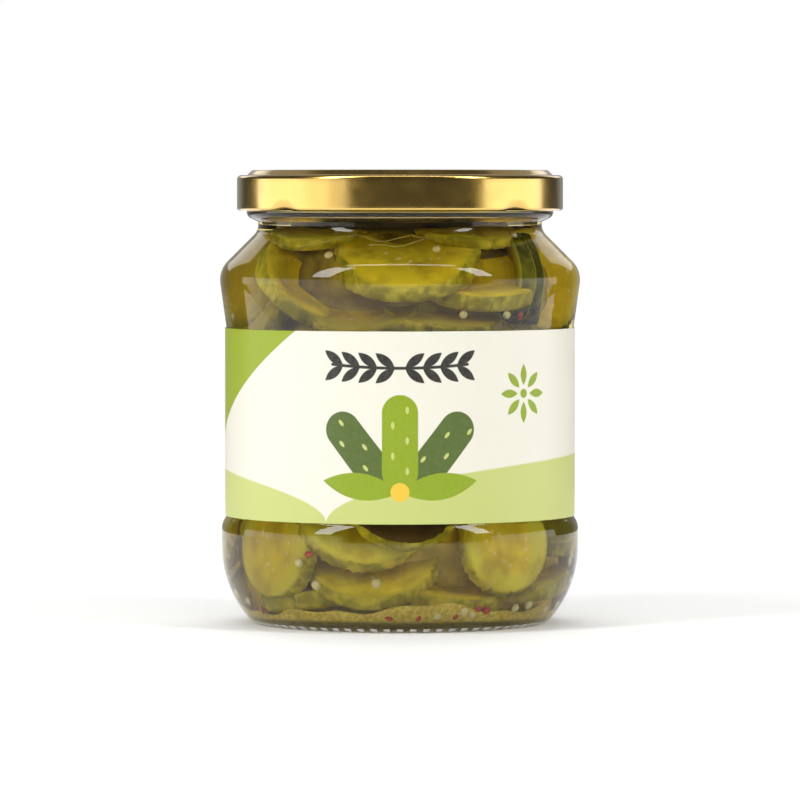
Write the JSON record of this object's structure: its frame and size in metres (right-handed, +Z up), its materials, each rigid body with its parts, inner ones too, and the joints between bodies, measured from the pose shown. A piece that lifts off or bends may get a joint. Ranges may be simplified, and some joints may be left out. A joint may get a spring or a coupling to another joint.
{
  "type": "pickle jar",
  "caption": "Round clear glass jar of gherkin slices in brine, shut with a gold twist-off lid, with a recessed panel that carries a wrap-round paper label.",
  "frame": {"origin": "centre of the foot ring, on the surface that the jar stands on", "axes": "+Z up along the jar's axis; the middle of the label faces -Y"},
  "size_m": [0.097, 0.097, 0.122],
  "materials": {
    "glass": "clear, polished",
    "lid_metal": "gold lacquer, glossy",
    "label_paper": "coated, satin",
    "gherkin": "wet pickled vegetable"
  },
  "bodies": {
    "root": {"glass_jar": "glass", "lid": "lid_metal", "label": "label_paper", "gherkin_slices": "gherkin"}
  },
  "joints": []
}
